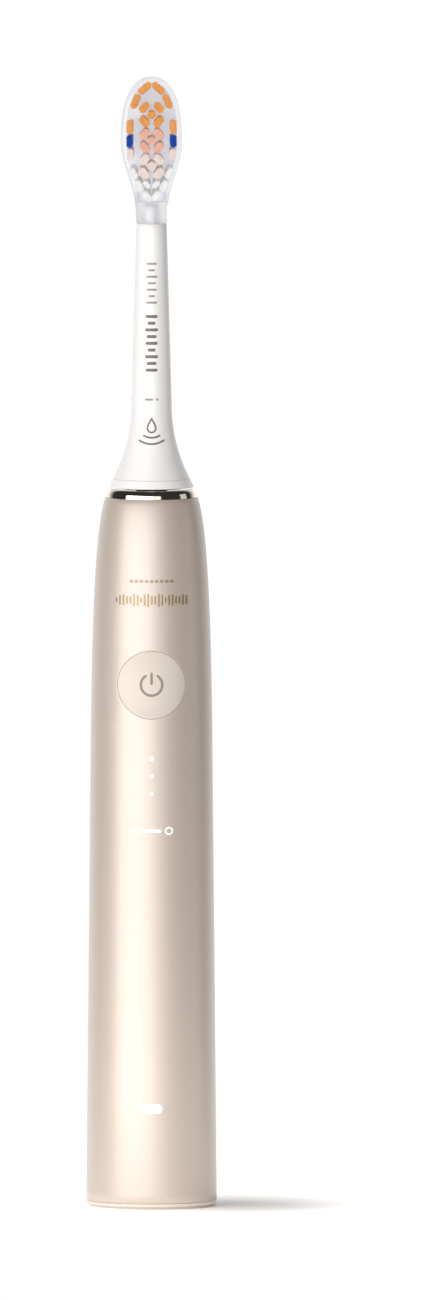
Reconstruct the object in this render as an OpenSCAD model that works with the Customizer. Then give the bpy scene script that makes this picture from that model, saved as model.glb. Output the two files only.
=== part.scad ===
// Slim electric toothbrush with a pull-off brush head, standing on its own flat base.
// Millimetres. The origin is the centre of the base, +Z is up, and the front faces -Y.

/* [Handle casing] */
// Radius of the casing just above its foot
base_r = 14.6; // [14.4:0.1:15]
// Radius where the straight taper ends
taper_r = 13.65; // [13.5:0.05:14]
// Radius of the casing's shoulder, under the metal ring
shoulder_r = 10.3; // [10.2:0.1:10.5]
// Wall thickness of the casing
wall = 1.5; // [1.3:0.1:1.6]
// Height of the visible light ring's lower edge
ring_z = 0.5; // [0.4:0.1:0.6]

/* [Controls] */
// Height of the power button's centre
button_z = 117.6; // [117:0.1:118]
// Radius of the power button
button_r = 7.55; // [7:0.05:7.6]
// Gap around the power button
button_gap = 0.15; // [0.1:0.05:0.2]
// Depth of the shallow finger dish in the power button
dish_depth = 0.8; // [0.4:0.1:0.9]
// How far the power button travels
button_travel = 0.35; // [0.2:0.05:0.4]
// Height of the lowest of the three mode lights
mode_z = 93.25; // [92:0.25:94]
// Distance between mode lights
mode_pitch = 3.95; // [3.5:0.05:4]
// Height of the battery light's centre
battery_light_z = 22.6; // [22:0.1:24]

/* [Drive] */
// Radius of the drive shaft
shaft_r = 2; // [1.9:0.05:2]
// Height of the drive shaft's tip
shaft_top = 186; // [184:0.5:186]
// Radial clearance of the bearings and the socket on the shaft
running_gap = 0.03; // [0.02:0.01:0.05]

/* [Brush head] */
// Radius at the top of the white neck
neck_top_r = 3.4; // [3.3:0.1:3.5]
// Half the width of the oval head
head_r = 6.95; // [6.5:0.05:7.2]
// Length of the tufts
tuft_len = 9.5; // [8:0.5:10.5]

/* [Charging base] */
// Radius of the charging recess in the foot
recess_r = 5; // [4.8:0.1:5]
// Depth of the charging recess
recess_depth = 9; // [8:0.5:9]

/* [Hidden] */
$fn = 96;
far = 40;

// Colours
champagne = [0.80, 0.72, 0.66];
porcelain = [0.95, 0.94, 0.93];
steel = [0.72, 0.73, 0.75];
copper = [0.80, 0.47, 0.25];
board_green = [0.10, 0.35, 0.22];
dark_plastic = [0.16, 0.16, 0.18];
grey_plastic = [0.55, 0.56, 0.58];
clear_tint = [0.85, 0.88, 0.92, 0.5];

// Casing heights
shell_z = 1.3;
taper_z = 103;
shoulder_z = 158.9;
ceiling_z = 155;
nose_r = 7;
curve_steps = 12;

// Foot: the corner below the casing is a quarter ellipse
corner_h = 1.2;
corner_w = 1.2;
cap_floor = 2;
plug_r = 11.8;
plug_top = 11.5;
board_z = plug_top + 1;
cup_r = recess_r + 1.5;
seal_z = 6;
seal_r = 0.55;
lead_r = 0.3;

// Circuit board: a long, narrow board in front of the battery
pcb_y = -8.4;
pcb_t = 1;
pcb_half = 6.2;
pcb_bottom = 18;
pcb_top = 125.5;
back_y = pcb_y + pcb_t;

// Battery
cell_r = 7;
cell_y = 1.5;
cell_z = 36;
cell_len = 50;

// Chassis
frame_r = 11.2;
frame_in = 9.7;
anchor_z = 89.4;

// Motor
motor_z = 127;
motor_top = 152.5;
plate_t = 2.5;
plate_r = 9.6;
bearing_r = 3.5;
core_z = 133;
core_h = 14;
leg_y = 4.2;
bar_y = 6.4;

// Nose
bush_z = 154.2;
bush_top = 160.3;
bush_in = 4;
seal_top = 163;

// Neck
neck_z = 161.15;
neck_split = 163;
neck_top = 220.3;
neck_flare = 4.5;
neck_flare_h = 17;
neck_slope = 0.028;
cavity_r = 6.25;
socket_z = 163.6;
socket_r = 3.2;
flat_z = 166;
flat_y = 1.5;

// Head
head_mid = 239;
head_up = 14;
stem_r = 3.5;
pin_r = 1.4;
stem_top = 225;
plate_low = 222;
plate_back = 3.4;
plate_front = -1;
pocket_depth = 2;
pocket_inset = 1.2;

// Button: its face follows the casing's surface, less a shallow spherical dish
face_r = taper_r - 0.23;
button_in = 11.85;
dish_r = (button_r * button_r + dish_depth * dish_depth) / (2 * dish_depth);
membrane_in = 10.75;
membrane_t = 0.6;
plunger_r = 1;
switch_floor = pcb_y - 0.6;

// Point on a cubic curve
function curve(a, b, c, d, t) =
    a * pow(1 - t, 3) + b * 3 * t * pow(1 - t, 2) + c * 3 * t * t * (1 - t) + d * t * t * t;

// Radius of the foot's rounded corner at height z
function corner_at(z) =
    base_r - corner_w * (1 - sqrt(1 - pow(max(0, corner_h - z) / corner_h, 2)));

// Radius of the neck at height z
function neck_at(z) =
    neck_top_r + neck_slope * (neck_top - z)
    + neck_flare * pow(max(0, 1 - (z - neck_z) / neck_flare_h), 2);

// Half the head's outline: narrow at the stem, widest at head_mid, round above, drawn in by d
function head_side(d) = concat(
    [for (i = [0 : 12]) let (t = i / 12, z = plate_low + t * (head_mid - plate_low))
        [stem_r - d + (head_r - stem_r) * 0.5 * (1 - cos(180 * t)), z]],
    [for (i = [1 : 14]) let (a = 90 * i / 14, p = 2 / 2.3)
        [(head_r - d) * pow(cos(a), p), head_mid + (head_up - d) * pow(sin(a), p)]]
);

// Solid inside the casing's outer surface, grown by g
module casing_solid(g = 0, z0 = shell_z, z1 = shoulder_z) {
    side = [for (i = [0 : curve_steps]) curve(
        [taper_r + g, taper_z], [taper_r - 0.2 + g, 124],
        [taper_r - 0.7 + g, 152], [shoulder_r + g, shoulder_z], i / curve_steps)];
    intersection() {
        rotate_extrude()
            polygon(concat([[0, z0], [base_r + g, z0]], side, [[0, shoulder_z]]));
        translate([0, 0, z0]) cylinder(r = far, h = z1 - z0);
    }
}

// Plain ring
module ring(r_in, r_out, z, h) {
    translate([0, 0, z]) difference() {
        cylinder(r = r_out, h = h);
        translate([0, 0, -1]) cylinder(r = r_in, h = h + 2);
    }
}

// Round bar along Y from y0 to y1
module y_bar(r, y0, y1, z, x = 0) {
    translate([x, y1, z]) rotate([90, 0, 0]) cylinder(r = r, h = y1 - y0);
}

// Pill shape along Y, w wide over its round ends and h high
module y_pill(w, h, y0, y1, z) {
    for (side = [-1, 1]) y_bar(h / 2, y0, y1, z, side * (w - h) / 2);
    translate([-(w - h) / 2, y0, z - h / 2]) cube([w - h, y1 - y0, h]);
}

// Box from its lowest to its highest corner
module box(a, b) {
    translate(a) cube(b - a);
}

// Half-space cut: keeps what lies behind the plane at y
module behind(y) {
    intersection() {
        children();
        box([-far, y, -1], [far, far, 260]);
    }
}

module handle_shell() {
    color(champagne) difference() {
        casing_solid();
        casing_solid(-wall, shell_z - 1, ceiling_z);
        translate([0, 0, ceiling_z - 1]) cylinder(r = nose_r, h = 8);
        y_bar(button_r + button_gap, -far, -5, button_z);
        for (i = [0 : 2]) y_bar(0.6, -far, -5, mode_z + i * mode_pitch);
        y_pill(4.9, 2.2, -far, -5, battery_light_z);
    }
}

module collar_ring() {
    h = 1.9;
    lip = 0.8;
    arc = [for (i = [0 : 8]) let (a = 90 * i / 8)
        [shoulder_r - lip + lip * cos(a), shoulder_z + h * sin(a)]];
    color([0.86, 0.78, 0.68])
        rotate_extrude() polygon(concat([[nose_r, shoulder_z]], arc, [[nose_r, shoulder_z + h]]));
}

module nose_bush() {
    color(dark_plastic) ring(bush_in, nose_r - 0.05, bush_z, bush_top - bush_z);
}

module shaft_seal() {
    r_in = shaft_r + 0.02;
    r_out = bush_in - 0.05;
    color([0.30, 0.30, 0.32]) rotate_extrude() polygon([
        [r_in, bush_z], [r_out, bush_z], [r_out, bush_top], [r_out - 0.5, bush_top + 0.6],
        [r_out - 0.4, bush_top + 1.2], [r_out - 1, bush_top + 1.7], [r_out - 0.9, seal_top],
        [r_in, seal_top]
    ]);
}

module vibration_damper() {
    color([0.22, 0.22, 0.24]) ring(bush_in + 0.3, nose_r - 0.1, motor_top + 0.05, 1.6);
}

module antenna_ring() {
    color(copper) difference() {
        ring(7.3, 9.3, bush_z, 0.3);
        box([-0.3, 7, bush_z - 1], [0.3, 10, bush_z + 1]);
    }
}

module antenna_flex() {
    color([0.75, 0.50, 0.20]) {
        box([-1.5, -9.5, button_z + 3.7], [1.5, -9.31, bush_z + 0.3]);
        box([-1.5, -9.31, button_z + 3.7], [1.5, pcb_y - 0.05, button_z + 4.7]);
    }
}

module motor_frame() {
    color([0.62, 0.63, 0.66]) difference() {
        union() {
            for (z = [motor_z, motor_top - plate_t]) ring(bearing_r + 0.02, plate_r, z, plate_t);
            // Side rails between the two plates
            for (side = [0, 1]) mirror([side, 0, 0]) rotate([0, 0, -25])
                rotate_extrude(angle = 70) translate([plate_r - 1.2, motor_z + 1])
                    square([1.2, motor_top - motor_z - 2]);
        }
        box([-1.8, -far, motor_z - 1], [1.8, -9.2, motor_top + 1]);
        // Holes that lighten the plates
        for (side = [-1, 1]) translate([side * 6.5, 0, motor_z - 1])
            cylinder(r = 1.5, h = motor_top - motor_z + 2);
    }
}

module bearing(z) {
    color(steel) ring(shaft_r + running_gap, bearing_r, z, plate_t);
}

module upper_bearing() {
    bearing(motor_top - plate_t);
}

module lower_bearing() {
    bearing(motor_z);
}

module stator_core() {
    color([0.45, 0.46, 0.48]) {
        box([-5.8, bar_y, core_z], [5.8, bar_y + 2, core_z + core_h]);
        for (x = [-5.5, -1.2, 3.3]) {
            w = x == -1.2 ? 2.4 : 2.2;
            box([x, leg_y, core_z], [x + w, bar_y, core_z + core_h]);
        }
    }
}

// Frame around the stator's middle leg, from half-width a to b
module coil_frame(a, b, y0, y1) {
    grow_in = a - 1.2;
    grow_out = b - 1.2;
    difference() {
        box([-b, y0, core_z - grow_out], [b, y1, core_z + core_h + grow_out]);
        box([-a, y0 - 1, core_z - grow_in], [a, y1 + 1, core_z + core_h + grow_in]);
    }
}

module coil_bobbin() {
    color(dark_plastic) {
        coil_frame(1.25, 1.65, leg_y + 0.1, bar_y - 0.05);
        for (y = [leg_y + 0.1, bar_y - 0.25]) coil_frame(1.65, 3.15, y, y + 0.2);
    }
}

module stator_coil() {
    color(copper) coil_frame(1.7, 3.1, leg_y + 0.35, bar_y - 0.3);
}

module chassis() {
    front = back_y + 0.05;
    bottom = board_z + 0.05;
    top = motor_z - 0.1;
    color([0.72, 0.73, 0.75]) difference() {
        union() {
            behind(-1) ring(frame_in, frame_r, bottom, top - bottom);
            // Bulkheads that join the back half to the board rails
            behind(-6.2) translate([0, 0, bottom]) cylinder(r = frame_r, h = 1.6);
            for (z = [cell_z - 3, anchor_z - 2.4, top - 1.6])
                behind(front) translate([0, 0, z]) cylinder(r = frame_r, h = z > 120 ? 1.6 : 2.4);
            // Cradles behind the battery
            for (z = [50, 70]) behind(cell_y) translate([0, 0, z]) cylinder(r = frame_in + 0.1, h = 1.5);
            for (side = [-1, 1]) translate([side * 7.1, 0, 0])
                box([-0.5, pcb_y, pcb_bottom], [0.5, -4, 107]);
        }
        translate([0, cell_y, cell_z - 0.1]) cylinder(r = cell_r + 0.1, h = cell_len + 0.2);
        translate([0, 0, top - 3]) cylinder(r = shaft_r + 0.8, h = 5);
        // Windows in the back wall
        for (z = [24, 43, 60.5, 79, 98, 112]) y_bar(4, 5, far, z);
        // Cable opening in the bottom bulkhead
        translate([0, 0, bottom - 1]) cylinder(r = 3, h = 3);
    }
}

module spring_anchor() {
    color([0.78, 0.68, 0.42]) difference() {
        union() {
            translate([0, 0, anchor_z]) cylinder(r = 4, h = 1.2);
            translate([0, 0, anchor_z]) cylinder(r = 2.6, h = 5);
        }
        translate([0, 0, anchor_z + 1]) cylinder(r = 1 + running_gap, h = 6);
    }
}

module battery_cell() {
    color([0.20, 0.42, 0.60]) translate([0, cell_y, 0]) {
        translate([0, 0, cell_z]) cylinder(r = cell_r, h = cell_len - 0.6);
        translate([0, 0, cell_z + cell_len - 0.6]) cylinder(r = 3, h = 0.6);
    }
}

module battery_tabs() {
    t = 0.15;
    color([0.80, 0.80, 0.78]) for (z = [cell_z - t - 0.02, cell_z + cell_len + 0.02]) {
        box([-2, back_y + 0.02, z], [2, cell_y + 2, z + t]);
    }
}

module circuit_board() {
    color(board_green) difference() {
        box([-pcb_half, pcb_y, pcb_bottom], [pcb_half, back_y, pcb_top]);
        for (z = [pcb_bottom + 11, pcb_top - 22]) y_bar(0.8, pcb_y - 1, back_y + 1, z, 4.6);
    }
}

module board_chips() {
    // Height of the centre, width and height of each chip on the board's back
    color(dark_plastic) for (c = [[28, 5, 4], [92.5, 5, 5], [99, 4, 3], [108, 7, 7]])
        box([-c[1] / 2, back_y, c[0] - c[2] / 2], [c[1] / 2, back_y + 1, c[0] + c[2] / 2]);
}

module board_capacitors() {
    color([0.70, 0.58, 0.42]) {
        for (i = [0 : 4]) translate([-3.4 + i * 1.7, 0, 0])
            box([-0.4, back_y, 102.6], [0.4, back_y + 0.8, 103.8]);
        for (i = [0 : 3]) translate([-5.2, 0, i * 2.2])
            box([-0.4, pcb_y - 0.7, 88], [0.4, pcb_y, 89.2]);
    }
}

module status_leds() {
    color([0.95, 0.93, 0.82]) {
        for (i = [0 : 2]) box([-0.8, pcb_y - 0.7, mode_z + i * mode_pitch - 0.4],
            [0.8, pcb_y, mode_z + i * mode_pitch + 0.4]);
        box([-0.8, pcb_y - 0.7, battery_light_z - 0.4], [0.8, pcb_y, battery_light_z + 0.4]);
    }
}

module board_header() {
    color([0.85, 0.75, 0.40]) for (i = [0 : 3]) translate([-1.905 + i * 1.27, 0, 0])
        box([-0.3, back_y + 0.02, board_z], [0.3, back_y + 0.62, pcb_bottom + 2]);
}

module switch_body() {
    color([0.25, 0.25, 0.27]) difference() {
        box([-3, pcb_y - 1.6, button_z - 3], [3, pcb_y, button_z + 3]);
        y_bar(plunger_r + 0.05, pcb_y - 3, switch_floor, button_z);
    }
}

module switch_plunger() {
    color([0.85, 0.30, 0.25])
        y_bar(plunger_r, pcb_y - 2.25, switch_floor - button_travel - 0.1, button_z);
}

module button_membrane() {
    color([0.60, 0.60, 0.62]) {
        intersection() {
            ring(membrane_in, membrane_in + membrane_t, button_z - far / 2, far);
            y_bar(9.2, -far, -2, button_z);
        }
        // Lip bonded to the casing's inner wall
        intersection() {
            ring(membrane_in + 0.1, taper_r - wall - 0.6, button_z - far / 2, far);
            difference() {
                y_bar(9.2, -far, -2, button_z);
                y_bar(8.3, -far, 0, button_z);
            }
        }
    }
}

module power_button() {
    stem_y = -(membrane_in + membrane_t + 0.05);
    color([0.82, 0.74, 0.68]) {
        difference() {
            intersection() {
                y_bar(button_r, -far, -8.5, button_z);
                casing_solid();
            }
            translate([0, 0, button_z - far / 2]) cylinder(r = button_in, h = far);
            translate([0, dish_depth - face_r - dish_r, button_z]) sphere(r = dish_r);
        }
        y_bar(1.6, -button_in - 0.2, stem_y, button_z);
    }
}

module mode_light_guide() {
    color(clear_tint) intersection() {
        union() {
            for (i = [0 : 2]) y_bar(0.55, -far, -11.5, mode_z + i * mode_pitch);
            box([-1.2, -11.9, mode_z - 1.5], [1.2, -10.9, mode_z + 2 * mode_pitch + 1.5]);
        }
        casing_solid();
    }
}

module battery_window() {
    color(clear_tint) {
        intersection() {
            y_pill(4.7, 2, -far, -12, battery_light_z);
            casing_solid();
        }
        intersection() {
            y_pill(7, 4, -far, -11.6, battery_light_z);
            casing_solid(-wall - 0.1);
        }
    }
}

module charging_bobbin() {
    z0 = cap_floor + 0.05;
    color(grey_plastic) difference() {
        rotate_extrude() polygon([
            [cup_r + 0.1, z0], [10.2, z0], [10.2, z0 + 0.6], [cup_r + 0.7, z0 + 0.6],
            [cup_r + 0.7, 8.85], [10.2, 8.85], [10.2, 9.45], [cup_r + 0.1, 9.45]
        ]);
        lead_positions() translate([0, 0, 8]) cylinder(r = lead_r + 0.15, h = 3, $fn = 32);
    }
}

module charging_coil() {
    color(copper) ring(cup_r + 0.75, 10, cap_floor + 0.7, 6.1);
}

module ferrite_ring() {
    color([0.28, 0.28, 0.30]) ring(cup_r + 0.1, 9.4, 9.5, 1.4);
}

// Places the two ends of the charging coil
module lead_positions() {
    for (side = [-1, 1]) translate([side * 1.5, 9.65, 0]) children();
}

module coil_leads() {
    color([0.75, 0.35, 0.20]) lead_positions() translate([0, 0, cap_floor + 6.8])
        cylinder(r = lead_r, h = plug_top - cap_floor - 6.8, $fn = 32);
}

module base_board() {
    color(board_green) ring(1.2, 12.8, plug_top, 1);
}

module ring_leds() {
    color([0.95, 0.93, 0.82]) for (i = [0 : 5]) rotate([0, 0, 30 + i * 60])
        box([12, -0.6, plug_top - 0.7], [12.7, 0.6, plug_top]);
}

module end_cap() {
    arc = [for (i = [0 : 5]) let (z = ring_z * i / 5) [corner_at(z), z]];
    groove = seal_r + 0.05;
    color([0.75, 0.74, 0.73]) rotate_extrude() polygon(concat(
        [[recess_r, 0]], arc,
        [[plug_r, ring_z], [plug_r, seal_z - groove], [plug_r - 1, seal_z - groove],
         [plug_r - 1, seal_z + groove], [plug_r, seal_z + groove], [plug_r, plug_top],
         [plug_r - 1.3, plug_top], [plug_r - 1.3, cap_floor], [cup_r, cap_floor],
         [cup_r, recess_depth + 1.5], [0, recess_depth + 1.5], [0, recess_depth],
         [recess_r, recess_depth]]
    ));
}

module end_cap_seal() {
    color([0.15, 0.15, 0.16]) rotate_extrude() translate([plug_r - 0.45, seal_z])
        circle(r = seal_r, $fn = 48);
}

module light_ring() {
    z0 = ring_z + 0.02;
    z1 = shell_z - 0.05;
    arc = [for (i = [0 : 6]) let (z = z0 + (z1 - z0) * i / 6) [corner_at(z) - 0.04, z]];
    color(clear_tint) rotate_extrude() polygon(concat(
        [[plug_r + 0.1, z0]], arc,
        [[base_r - wall - 0.15, z1], [base_r - wall - 0.15, 10.6], [plug_r + 0.15, 10.6]]
    ));
}

module drive_shaft() {
    chamfer = 0.5;
    color(steel) difference() {
        union() {
            translate([0, 0, 112]) cylinder(r = shaft_r, h = shaft_top - chamfer - 112);
            translate([0, 0, shaft_top - chamfer])
                cylinder(r1 = shaft_r, r2 = shaft_r - chamfer, h = chamfer);
        }
        box([-far, flat_y, flat_z], [far, far, shaft_top + 1]);
    }
}

module rotor_hub() {
    color([0.50, 0.50, 0.54]) difference() {
        union() {
            translate([0, 0, core_z - 2]) cylinder(r = 3, h = core_h + 3.5);
            box([-3.4, 0.5, core_z + 0.5], [3.4, 2.15, core_z + core_h - 0.5]);
        }
        box([-far, 2.15, core_z - 3], [far, far, core_z + core_h + 4]);
        translate([0, 0, core_z - 3]) cylinder(r = shaft_r + 0.01, h = core_h + 6);
    }
}

module rotor_magnets() {
    color([0.80, 0.80, 0.83]) for (x = [-3.3, 0.3])
        box([x, 2.17, core_z + 1], [x + 3, 3.6, core_z + core_h - 1]);
}

module torsion_rod() {
    color(steel) translate([0, 0, anchor_z + 1.4]) cylinder(r = 1, h = 112 - anchor_z - 1.4);
}

// Solid of the neck between two heights
module neck_solid(z0, z1) {
    steps = 18;
    side = [for (i = [0 : steps]) let (z = z0 + (z1 - z0) * pow(i / steps, 1.6)) [neck_at(z), z]];
    rotate_extrude() polygon(concat([[0, z0]], side, [[0, z1]]));
}

module brush_neck() {
    color(porcelain) {
        difference() {
            neck_solid(neck_split + 0.05, neck_top);
            translate([0, 0, neck_split - 1]) cylinder(r = cavity_r, h = socket_z + 2.45 - neck_split);
            translate([0, 0, neck_split]) cylinder(r = socket_r + 0.05, h = shaft_top + 1.5 - neck_split);
        }
        translate([0, 0, neck_top - 0.5]) cylinder(r = pin_r, h = 4.3);
    }
}

module neck_base_ring() {
    color([0.90, 0.90, 0.90]) difference() {
        neck_solid(neck_z, neck_split);
        translate([0, 0, neck_z - 1]) cylinder(r = cavity_r, h = 5);
    }
}

module shaft_socket() {
    h = shaft_top + 1.2 - socket_z;
    color([0.50, 0.52, 0.55]) difference() {
        union() {
            translate([0, 0, socket_z]) cylinder(r = cavity_r - 0.05, h = 1.4);
            translate([0, 0, socket_z]) cylinder(r = socket_r, h = h);
        }
        translate([0, 0, socket_z - 1]) cylinder(r = shaft_r + running_gap + 0.01, h = h);
    }
}

module retaining_spring() {
    color(steel) box([-0.8, flat_y + 0.05, flat_z + 2], [0.8, flat_y + 0.35, shaft_top - 3]);
}

module id_chip() {
    color([0.12, 0.30, 0.22]) ring(4.4, cavity_r - 0.15, neck_split + 0.02, 0.5);
}

// The head's outline as a slab between two depths, drawn in by d
module head_slab(d, y0, y1, z_cut = 0) {
    side = head_side(d);
    shape = concat(side, [for (i = [len(side) - 2 : -1 : 0]) [-side[i][0], side[i][1]]]);
    intersection() {
        translate([0, y1, 0]) rotate([90, 0, 0]) linear_extrude(y1 - y0) polygon(shape);
        box([-far, -far, z_cut], [far, far, 300]);
    }
}

module head_plate() {
    color(clear_tint) difference() {
        union() {
            head_slab(0, plate_front, plate_back);
            translate([0, 0, neck_top + 0.05]) cylinder(r = stem_r, h = stem_top - neck_top - 0.05);
        }
        head_slab(pocket_inset, plate_front - 5, plate_front + pocket_depth, stem_top);
        translate([0, 0, neck_top - 1]) cylinder(r = pin_r + 0.05, h = 5);
    }
}

module tuft_plate() {
    color([0.86, 0.85, 0.92]) head_slab(pocket_inset + 0.05, plate_front, plate_front + pocket_depth - 0.05,
        stem_top + 0.05);
}

// One tuft with round ends: centre, length, and the angle of its long side
module tuft(x, z, len, angle, w) {
    translate([x, plate_front - 0.05, z]) rotate([90, 0, 0]) linear_extrude(tuft_len) rotate(angle) {
        square([len - w, w], center = true);
        for (side = [-1, 1]) translate([side * (len - w) / 2, 0]) circle(d = w, $fn = 24);
    }
}

// A tuft and its mirror image
module tuft_pair(x, z, len, angle, w) {
    tuft(x, z, len, angle, w);
    tuft(-x, z, len, -angle, w);
}

// Four slanted tufts around a round one
module tuft_cluster(z) {
    for (side = [-1, 1]) tuft_pair(1.55, z + side * 1.46, 2.5, -side * 50, 1.5);
    tuft(0, z, 1.75, 90, 1.7);
}

module tufts_orange() {
    color([0.95, 0.68, 0.34]) {
        tuft_pair(1.42, 250.35, 3.1, -42, 1.2);
        tuft_pair(3.33, 247.65, 3.2, -67, 1.2);
        tuft_pair(4.6, 242.3, 2.9, 90, 1.4);
        tuft_cluster(245);
    }
}

module tufts_blue() {
    color([0.05, 0.28, 0.65]) tuft_pair(4.6, 239.3, 2.5, 90, 1.4);
}

module tufts_salmon() {
    color([0.94, 0.78, 0.68]) tuft_cluster(239.4);
}

module tufts_pale() {
    color([0.96, 0.88, 0.84]) {
        tuft_pair(4.5, 236.6, 2.2, 90, 1.4);
        tuft_cluster(233.9);
    }
}

module tufts_white() {
    color([0.96, 0.96, 0.98]) {
        tuft_pair(3.75, 232.6, 2.2, 62, 1.2);
        tuft_pair(2.6, 230.0, 2.2, 58, 1.2);
        tuft_pair(1.0, 227.9, 2.2, 50, 1.2);
        tuft_pair(1.0, 230.2, 1.7, 45, 1.0);
    }
}

handle_shell();
collar_ring();
nose_bush();
shaft_seal();
vibration_damper();
antenna_ring();
antenna_flex();
motor_frame();
upper_bearing();
lower_bearing();
stator_core();
coil_bobbin();
stator_coil();
chassis();
spring_anchor();
battery_cell();
battery_tabs();
circuit_board();
board_chips();
board_capacitors();
status_leds();
board_header();
switch_body();
button_membrane();
mode_light_guide();
battery_window();
charging_bobbin();
charging_coil();
ferrite_ring();
coil_leads();
base_board();
ring_leds();
end_cap();
end_cap_seal();
light_ring();
drive_shaft();
rotor_hub();
rotor_magnets();
torsion_rod();
brush_neck();
neck_base_ring();
shaft_socket();
retaining_spring();
id_chip();
head_plate();
tuft_plate();
tufts_orange();
tufts_blue();
tufts_salmon();
tufts_pale();
tufts_white();
power_button();
switch_plunger();
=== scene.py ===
import math
import random

import bmesh
import bpy
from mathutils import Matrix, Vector


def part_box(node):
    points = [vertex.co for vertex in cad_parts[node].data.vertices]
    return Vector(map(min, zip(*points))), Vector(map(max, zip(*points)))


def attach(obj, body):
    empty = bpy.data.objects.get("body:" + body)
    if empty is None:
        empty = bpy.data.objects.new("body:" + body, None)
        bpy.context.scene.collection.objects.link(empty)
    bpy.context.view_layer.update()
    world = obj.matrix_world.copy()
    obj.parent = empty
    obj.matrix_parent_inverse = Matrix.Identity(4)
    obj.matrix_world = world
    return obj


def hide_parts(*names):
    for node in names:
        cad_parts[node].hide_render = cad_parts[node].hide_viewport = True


# Looks of the electric toothbrush. Shapes are worked out in millimetres and written in metres.
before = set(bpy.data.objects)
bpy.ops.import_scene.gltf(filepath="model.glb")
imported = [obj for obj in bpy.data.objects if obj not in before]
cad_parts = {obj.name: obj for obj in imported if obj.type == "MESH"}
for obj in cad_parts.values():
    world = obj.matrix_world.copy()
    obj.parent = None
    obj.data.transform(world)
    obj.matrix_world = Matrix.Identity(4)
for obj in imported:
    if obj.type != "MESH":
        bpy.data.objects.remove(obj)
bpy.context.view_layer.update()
MM = 0.001


# ---- sizes, from the frame

def corners(node):
    """Lowest and highest corner of a CAD node, in millimetres."""
    low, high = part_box(node)
    return low / MM, high / MM


shell_low, shell_high = corners("handle_shell")
ring_low, ring_high = corners("collar_ring")
cap_high = corners("end_cap")[1]
band_low, band_high = corners("light_ring")
neck_low, neck_high = corners("brush_neck")
lip_low, lip_high = corners("neck_base_ring")
plate_low, plate_high = corners("head_plate")
carrier_low, carrier_high = corners("tuft_plate")
button_low, button_high = corners("power_button")
guide_low, guide_high = corners("mode_light_guide")
window_low, window_high = corners("battery_window")

BASE_R = shell_high.x
SHOULDER_R = ring_high.x
SHOULDER_Z = shell_high.z
TAPER_R = 13.65
TAPER_Z = 103.0
WALL = 1.5
NOSE_R = 7.0
CEILING_Z = 155.0
BUTTON_Z = (button_low.z + button_high.z) / 2
BUTTON_R = (button_high.z - button_low.z) / 2
BUTTON_GAP = 0.08
BUTTON_CAP_R = BUTTON_R + 0.04
BUTTON_FILLET = 0.07
DISH_DEPTH = 0.8
GUIDE_MARGIN = 1.5
MODE_R = 0.55
MODE_Z = [guide_low.z + GUIDE_MARGIN + k * (guide_high.z - guide_low.z - 2 * GUIDE_MARGIN) / 2
          for k in range(3)]
BATTERY_Z = (window_low.z + window_high.z) / 2
CORNER_H = 1.2
CORNER_W = 1.2
NECK_TOP_R = 3.4
NECK_SLOPE = 0.028
NECK_FLARE = 4.5
NECK_FLARE_H = 17.0
NECK_Z = lip_low.z
NECK_TOP = plate_low.z - 0.05
HEAD_R = plate_high.x
HEAD_MID = 239.0
HEAD_TOP = plate_high.z
HEAD_NARROW = 222.0
STEM_R = 3.5
PIN_R = 1.4
CAVITY_R = 6.25
CARRIER_MARGIN = 1.2
AXIS_R = 0.02
PLUG_R = 11.8
FINE_TURN = 128
ROUND_POWER = 2.3
BLEND_H = 9.0
FIELD_HALF_H = 14


def cubic(a, b, c, d, t):
    """Point on a cubic curve."""
    s = 1 - t
    return a * s ** 3 + 3 * b * s * s * t + 3 * c * s * t * t + d * t ** 3


def casing_r(z):
    """Radius of the casing's outer surface at height z."""
    if z <= TAPER_Z:
        return BASE_R + (TAPER_R - BASE_R) * (z - shell_low.z) / (TAPER_Z - shell_low.z)
    low, high = 0.0, 1.0
    for _ in range(40):
        t = (low + high) / 2
        if cubic(TAPER_Z, 124, 152, SHOULDER_Z, t) < z:
            low = t
        else:
            high = t
    return cubic(TAPER_R, TAPER_R - 0.2, TAPER_R - 0.7, SHOULDER_R, t)


def corner_r(z):
    """Radius of the rounded foot at height z."""
    drop = max(0.0, CORNER_H - z) / CORNER_H
    return BASE_R - CORNER_W * (1 - math.sqrt(1 - drop * drop))


def neck_r(z):
    """Radius of the neck at height z."""
    flare = max(0.0, 1 - (z - NECK_Z) / NECK_FLARE_H)
    return NECK_TOP_R + NECK_SLOPE * (NECK_TOP - z) + NECK_FLARE * flare * flare


def casing_y(x, z):
    """Depth of the casing's front surface."""
    return -math.sqrt(casing_r(z) ** 2 - x * x)


def neck_y(x, z):
    """Depth of the neck's front surface."""
    return -math.sqrt(neck_r(z) ** 2 - x * x)


def button_y(x, z):
    """Depth of the button's dished face."""
    reach = min(1.0, math.hypot(x, z - BUTTON_Z) / BUTTON_R)
    return casing_y(x, z) + DISH_DEPTH * (1 - reach * reach)


def head_half_width(z):
    """Half the width of the oval head at height z."""
    if z < HEAD_MID:
        t = max(0.0, (z - HEAD_NARROW) / (HEAD_MID - HEAD_NARROW))
        return STEM_R + (HEAD_R - STEM_R) * 0.5 * (1 - math.cos(math.pi * t))
    t = min(1.0, (z - HEAD_MID) / (HEAD_TOP - HEAD_MID))
    return HEAD_R * (1 - t ** ROUND_POWER) ** (1 / ROUND_POWER)


# ---- camera, light and floor

VIEW_ELEVATION = math.radians(4.3)
VIEW_TARGET = Vector((0.0152, 0.0, 0.1245))
VIEW_HEIGHT = 0.2908
VIEW_DISTANCE = 1.2


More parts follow.
